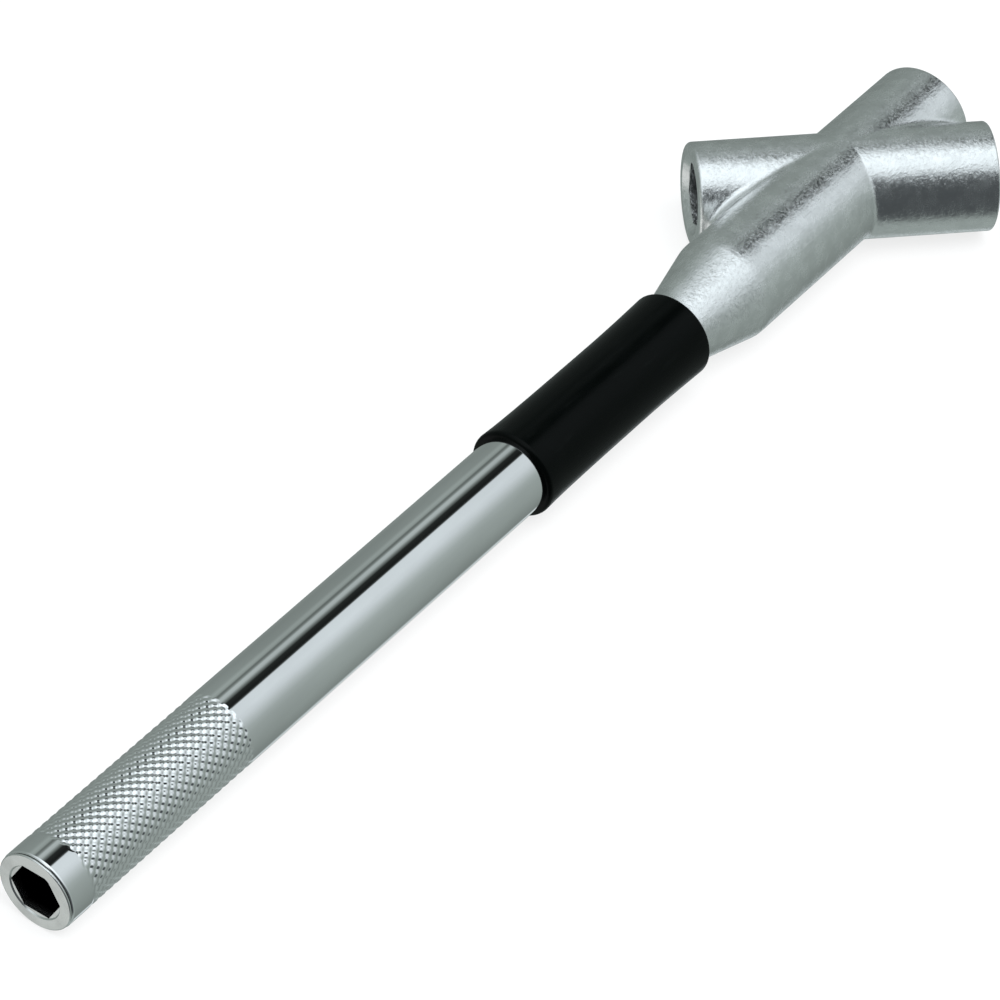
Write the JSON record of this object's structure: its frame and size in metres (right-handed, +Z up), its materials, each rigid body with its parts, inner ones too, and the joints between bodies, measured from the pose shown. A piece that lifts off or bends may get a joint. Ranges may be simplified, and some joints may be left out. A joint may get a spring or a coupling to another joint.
{
  "type": "lug wrench",
  "caption": "Extending lug wrench: a forged cross head with hexagon sockets slides out of a knurled tubular handle with a black sleeve.",
  "frame": {"origin": "centre of the handle's open end, on the handle's axis, with the wrench closed", "axes": "+X along the handle from its open end to the head, +Z up, and the axes of the head's sockets in the XY plane"},
  "size_m": [0.3887, 0.0811, 0.031],
  "materials": {
    "handle_chrome": "polished chrome plate, knurled at the open end",
    "insert_steel": "satin nickel plate",
    "head_plating": "satin plated forging with fine grain",
    "rod_chrome": "ground and chrome plated",
    "bright_steel": "turned steel",
    "spring_steel": "drawn spring steel",
    "dark_screw": "black oxide",
    "nylon": "natural nylon",
    "sleeve_black": "satin black"
  },
  "bodies": {
    "head": {"socket_head": "head_plating", "inner_rod": "rod_chrome", "rod_pin": "bright_steel", "rod_stop_ring": "spring_steel", "rod_guide_ring": "nylon", "detent_ball": "bright_steel", "detent_spring": "spring_steel"},
    "handle": {"handle_tube": "handle_chrome", "end_socket": "insert_steel", "guide_bush": "bright_steel", "friction_ring": "nylon", "guide_screw": "dark_screw", "grip_sleeve": "sleeve_black"}
  },
  "joints": [
    {"name": "handle_slide", "type": "slide", "parent": "head", "child": "handle", "axis": [-1, 0, 0], "range_m": [0, 0.15]}
  ]
}
